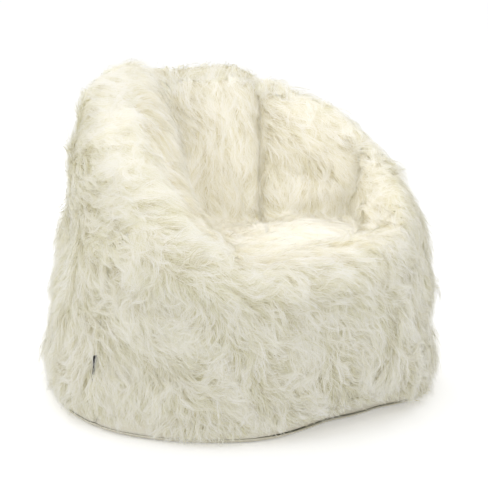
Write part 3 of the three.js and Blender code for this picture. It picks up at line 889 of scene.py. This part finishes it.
def woven_material(name, colours, scale, roughness=0.85, sheen=0.1):
    """A plain weave: two crossed waves give bump and a slight change of colour."""
    material, tree, shader = material_with(name, roughness=roughness, sheen=sheen)
    place = add_node(tree, "TexCoord").outputs["Object"]
    waves = [add_node(tree, "TexWave", {"Vector": place, "Scale": scale, "Distortion": WEAVE_WOBBLE},
                      bands_direction=direction).outputs["Fac"] for direction in ("X", "Y")]
    weave = add_node(tree, "Math", dict(enumerate(waves)), operation="MULTIPLY").outputs[0]
    mottle = add_node(tree, "TexNoise", {"Vector": place, "Scale": MOTTLE_SCALE}).outputs["Fac"]
    blend = add_node(tree, "Math", {0: weave, 1: 0.5, 2: mottle}, operation="MULTIPLY_ADD").outputs[0]
    colour = add_ramp(tree, [(0.2, colours[0]), (0.9, colours[1])], blend)
    add_surface(tree, shader, colour, weave, WEAVE_HEIGHT)
    return material


def bead_material():
    material, tree, shader = material_with("beads", roughness=0.5)
    place = add_node(tree, "TexCoord").outputs["Object"]
    # Each cell is pale in its middle and darker towards its edge: painted shade of round beads and
    # between them.
    cells = add_node(tree, "TexVoronoi", {"Vector": place, "Scale": 220}).outputs["Distance"]
    colour = add_ramp(tree, [(0.0, (0.95, 0.95, 0.94)), (0.7, (0.72, 0.72, 0.70))], cells)
    add_surface(tree, shader, colour)
    return material


# ---- base, liner and fill ----
LINER_DEPTH, LINER_CLOTH, FILL_DEPTH = 0.007, 0.0015, 0.011
BASE_CLOTH, BASE_RISE = 0.0026, 0.0082
LINER_BASE_HEIGHT, LINER_BASE_SCALE = 0.0152, 0.94
ZIP_SLOT = 0.024
BASE_OPENING = (0.020, 0.292)  # where the zip runs and half the length of its slot
LINER_OPENING = (-0.040, 0.212)
CLOSED_GAP, RIM_GAP = 0.0005, 0.004  # half the gap beyond the slot's ends, room for it at the rim
BASE_ROWS = 14  # from the zip to the rim, before the rim turns up


def layer_grid(cushion, depth):
    surface = cushion.surface(depth)
    surface[..., 2] = np.maximum(surface[..., 2], LINER_BASE_HEIGHT + depth / 4)
    return surface[::SHELL_STEP, ::SHELL_STEP]


def add_liner_and_fill(cushion):
    rings = ROW_T[::SHELL_STEP]
    present = np.repeat(((rings[1:] + rings[:-1]) / 2 > BASE_SEAM)[:, None], COLUMNS // SHELL_STEP, 1)
    outer = layer_grid(cushion, LINER_DEPTH)
    inner = layer_grid(cushion, LINER_DEPTH + LINER_CLOTH)
    cloth = woven_material("liner_cloth", LINER_COLOURS, 320)
    liner = closed_slab("liner_cloth", outer, inner, present, cloth)
    put(liner, "liner_cloth", "liner_shell")
    body = layer_grid(cushion, FILL_DEPTH)[np.flatnonzero(rings > BASE_SEAM)[0]:]
    fill = grid_object("bead_filling", body, bead_material())
    faces_outwards(fill, hole=reversed(range(body.shape[1])))
    put(fill, "beads", "bead_fill")


def base_outline(backing, scale):
    """The base's edge on the floor and the line where it is sewn to the wall, seen from above."""
    ring = np.full(COLUMNS, FLOOR_EDGE)
    edge = tucked(body_surface(np.radians(DEGREES), ring), DEGREES, ring)
    seam = backing[int(round((BASE_SEAM - ROW_T[0]) / ROW_STEP))]
    return edge * scale, seam * scale


def half_base(name, backing, front, opening, scale, height, rise, cloth, material):
    """Half of a base disc, with its side of the zip's slot cut out and its rim turned up."""
    line, half_slot = opening
    edge, seam = base_outline(backing, scale)
    sign = -1 if front else 1
    keep = np.flatnonzero(sign * (edge[:, 1] - line) > RIM_GAP)
    turned = (DEGREES[keep] + 180) % 360 if front else -DEGREES[keep]
    order = keep[np.argsort(turned)]  # from one end of the zip to the other
    rim, lip = edge[order], seam[order]
    along = np.clip(np.maximum.accumulate(rim[:, 0]), rim[0, 0], rim[-1, 0])
    along = 0.97 * along + 0.03 * np.linspace(rim[0, 0], rim[-1, 0], len(rim))
    slot = np.where(np.abs(along) < half_slot, ZIP_SLOT / 2, CLOSED_GAP)
    start = np.stack([along, line + sign * slot], -1)
    shares = np.linspace(0, 1, BASE_ROWS)[:, None, None]
    halfway = (rim[:, :2] + lip[:, :2]) / 2
    flat = np.concatenate([start * (1 - shares) + rim[:, :2] * shares, halfway[None], lip[None, :, :2]])
    up = np.array([0] * BASE_ROWS + [0.35, 1])[:, None] * rise
    lower = with_height(flat[..., 0], flat[..., 1], height + up)
    upper = lower.copy()
    upper[..., 2] += cloth
    upper[BASE_ROWS:, :, :2] -= unit(lip[:, :2]) * cloth * 0.6
    present = np.ones((BASE_ROWS + 1, len(order)), bool)
    present[:, -1] = False
    half = closed_slab(name, lower, upper, present, material)
    faces_outwards(half)
    return half


def add_base(backing):
    cloth = woven_material("base_cloth", BASE_COLOURS, 260)
    lining = woven_material("liner_cloth", LINER_COLOURS, 320)
    for front, side in ((True, "front"), (False, "rear")):
        half = half_base(f"base_cloth_{side}", backing, front, BASE_OPENING, 1.0,
                         0.0, BASE_RISE, BASE_CLOTH, cloth)
        put(half, "base_cloth", f"base_panel_{side}")
        half = half_base(f"liner_bottom_{side}", backing, front, LINER_OPENING, LINER_BASE_SCALE,
                         LINER_BASE_HEIGHT, 0.002, LINER_CLOTH, lining)
        put(half, "liner_cloth", f"liner_base_{side}")


# ---- label and zips ----
LABEL_BOTTOM, LABEL_TOP = 0.092, 0.144
LABEL_DEPTH, LABEL_PROUD, LABEL_THICKNESS = 0.024, -0.0125, 0.0012
LABEL_ROWS, LABEL_COLUMNS = 9, 9


def add_label(cushion):
    """A folded strip of woven ribbon sewn into the side seam, blank on both faces."""
    out, up = np.meshgrid(np.linspace(0, 1, LABEL_COLUMNS), np.linspace(0, 1, LABEL_ROWS))
    column = int(SIDE_RIGHT * COLUMNS / 360)
    wall = cushion.body[:, column]
    middle = (LABEL_BOTTOM + LABEL_TOP) / 2
    edge = wall[np.argmin(np.abs(wall[:, 2] - middle) + (ROW_T > 7))]
    outwards = unit(grid_normals(cushion.body)[np.argmin(np.abs(ROW_T - 4.3)), column] * (1, 1, 0))
    sideways = np.cross(outwards, (0, 0, 1.0))
    reach = LABEL_PROUD - LABEL_DEPTH * (1 - out)
    bend = 0.004 * out ** 2 * (1 - 1.6 * up) + 0.0006 * np.sin(9 * up)
    height = LABEL_BOTTOM + (LABEL_TOP - LABEL_BOTTOM) * up + 0.003 * out
    middle_sheet = (edge * (1, 1, 0) + outwards * reach[..., None] + sideways * bend[..., None]
                    + height[..., None] * (0, 0, 1))
    half = LABEL_THICKNESS / 2 * (1 + 0.5 * np.sin(out * math.pi))
    half[:, -1] *= 0.5
    spread = sideways * half[..., None]
    present = np.ones((LABEL_ROWS - 1, LABEL_COLUMNS), bool)
    present[:, -1] = False
    ribbon = woven_material("label_ribbon", ((0.028, 0.028, 0.031), (0.075, 0.075, 0.080)), 900)
    label = closed_slab("label_ribbon", middle_sheet + spread, middle_sheet - spread, present, ribbon)
    put(label, "label", "side_label")


def metal_material():
    material, tree, shader = material_with("zip_metal", roughness=0.32, colour=(0.62, 0.61, 0.58))
    shader.inputs["Metallic"].default_value = 1.0
    place = add_node(tree, "TexCoord").outputs["Object"]
    grain = add_node(tree, "TexNoise", {"Vector": place, "Scale": 900, "Detail": 4}).outputs["Fac"]
    colour = add_ramp(tree, [(0.3, (0.55, 0.54, 0.51)), (0.7, (0.70, 0.69, 0.66))], grain)
    add_surface(tree, shader, colour, grain, 0.00004)
    return material


def dress_zips():
    """The zips keep their CAD meshes; each kind of part gets its own material."""
    tape = woven_material("zip_tape", ((0.58, 0.54, 0.42), (0.72, 0.68, 0.56)), 700)
    coil = woven_material("zip_coil", ((0.62, 0.58, 0.46), (0.80, 0.76, 0.64)), 240, roughness=0.4)
    metal = metal_material()
    kinds = {"tape": tape, "coil": coil, "stop": metal, "slider": metal}
    for name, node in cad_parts.items():
        for kind, material in kinds.items():
            if f"zip_{kind}" in name:
                node.data.materials.clear()
                node.data.materials.append(material)


# ---- build ----
SIMULATED_PUFF = 0.75  # the simulation puffs the panels out further
MOST_STRANDS = 20000  # in one mesh


def add_coat(pile, coat, rng, outside_fur, inside_fur):
    """One coat of the pile, as meshes that each belong to one panel."""
    guides = grow_guides(pile, coat, rng, coat["locks"])
    spine, half, tone, shade = grow_strands(guides, coat, rng)
    owner = np.repeat(panel_of(guides["t"], guides["degrees"]), coat["strands"])
    for panel in FUR_PANELS:
        mine = np.flatnonzero(owner == panel)
        parts = max(1, math.ceil(len(mine) / MOST_STRANDS))
        base = panel.replace("_panel", "") + "_" + coat["label"]
        names = [base] if parts == 1 else [f"{base}_{part + 1}" for part in range(parts)]
        for name, chosen in zip(names, np.array_split(mine, parts)):
            tufts = ribbon_mesh(name, spine[chosen], half[chosen], tone[chosen], shade[chosen],
                                outside_fur if panel in OUTSIDE_PANELS else inside_fur)
            put(tufts, "fur")
            tufts.visible_shadow = False


cushion = Cushion(SIMULATED_PUFF)
backing = cushion.surface()
backing = inflate(backing, cushion.nearest)
pile = Pile(backing, cushion.sink, cushion.nearest)
# Two tints of the same fur: painted shade on the outer wall, painted bounce light in the pocket.
fur_outside = fur_material("cream_fur_outside", PALE_OUTSIDE, DARK_OUTSIDE)
fur_inside = fur_material("cream_fur_inside", PALE_INSIDE, DARK_INSIDE)
sewn_panels(backing, woven_material("fur_backing", BACKING_COLOURS, 300, roughness=0.95))
add_liner_and_fill(cushion)
add_base(backing)
add_label(cushion)
dress_zips()
for coat_index, coat in enumerate((UNDERCOAT, LOCKS, WISPS)):
    add_coat(pile, coat, np.random.default_rng(SEED + coat_index), fur_outside, fur_inside)


# ---- stage ----
HORIZON, ZENITH = 0.52, 0.96
FLOOR_GLOW = 0.29
LAMP_COLOUR = (1.0, 0.995, 0.97)
POCKET_COLOUR = (1.0, 0.985, 0.975)
CAMERA_TURN, CAMERA_RISE = -10, 15  # degrees round from the front and above the level
CAMERA_TARGET, CAMERA_DISTANCE = (0, 0, 0.3), 3.2
VIEW_WIDTH, CAMERA_SHIFT = 0.981, (0.010, -0.008)


def camera_sees(tree, operation, other):
    """Another value, multiplied by or raised to 1 for what the camera sees directly."""
    seen = add_node(tree, "LightPath").outputs["Is Camera Ray"]
    return add_node(tree, "Math", {0: seen, 1: other}, operation=operation).outputs[0]


def add_stage():
    """A pale floor and a plain bright world."""
    bpy.ops.mesh.primitive_plane_add(size=30, location=(0, 0, 0))
    floor = bpy.context.object
    floor.name = "floor"
    material, tree, shader = material_with("floor", roughness=0.9, colour=(0.9, 0.9, 0.9))
    glow = camera_sees(tree, "MULTIPLY", FLOOR_GLOW)
    tree.links.new(glow, shader.inputs["Emission Strength"])
    shader.inputs["Emission Color"].default_value = (1, 1, 1, 1)
    floor.data.materials.append(material)
    world = bpy.data.worlds.new("studio")
    bpy.context.scene.world = world
    world.use_nodes = True
    tree = world.node_tree
    direction = add_node(tree, "TexCoord").outputs["Generated"]
    up = add_node(tree, "SeparateXYZ", {0: direction}).outputs["Z"]
    sky = add_node(tree, "MapRange", {"Value": up, "From Min": 0.1, "From Max": 0.95,
                                      "To Min": HORIZON, "To Max": ZENITH})
    bright = camera_sees(tree, "MAXIMUM", sky.outputs["Result"])
    tree.links.new(bright, tree.nodes["Background"].inputs["Strength"])
    tree.nodes["Background"].inputs["Color"].default_value = (1, 1, 1, 1)


def add_lamp(name, place, target, power, kind="AREA", color=LAMP_COLOUR, **settings):
    data = bpy.data.lights.new(name, kind)
    data.color = color
    data.energy = power
    for key, value in settings.items():
        setattr(data, key, value)
    lamp = add_object(name, data)
    lamp.location = place
    lamp.rotation_euler = (Vector(target) - Vector(place)).to_track_quat("-Z", "Y").to_euler()


def add_camera():
    azimuth, elevation = math.radians(CAMERA_TURN), math.radians(CAMERA_RISE)
    back = Vector((math.sin(azimuth) * math.cos(elevation), -math.cos(azimuth) * math.cos(elevation),
                   math.sin(elevation)))
    data = bpy.data.cameras.new("camera")
    camera = add_object("camera", data)
    camera.location = Vector(CAMERA_TARGET) + back * CAMERA_DISTANCE
    camera.rotation_euler = (-back).to_track_quat("-Z", "Y").to_euler()
    data.sensor_width = 36
    data.lens = data.sensor_width * CAMERA_DISTANCE / VIEW_WIDTH
    data.shift_x, data.shift_y = CAMERA_SHIFT
    bpy.context.scene.camera = camera


add_camera()
add_stage()
add_lamp("key", (0.1, 0.4, 3.1), (0, 0, 0.35), 7.5, size=1.3)
add_lamp("back", (-0.8, 2.2, 2.3), (0, 0.1, 0.4), 13, size=1.3)
add_lamp("pocket", (-0.1, -1.0, 1.9), (0.05, 0.04, 0.40), 31, kind="SPOT", color=POCKET_COLOUR,
         spot_size=math.radians(26), spot_blend=1.0, shadow_soft_size=0.15)
add_lamp("fill", (-2.8, -1.3, 1.3), (0, 0, 0.25), 10, size=1.6)
add_lamp("side", (2.4, -2.6, 1.3), (0, 0, 0.2), 10.5, size=1.8)
bpy.context.scene.view_settings.view_transform = "Standard"
bpy.context.scene.cycles.diffuse_bounces = 10  # pale pile passes light on many times
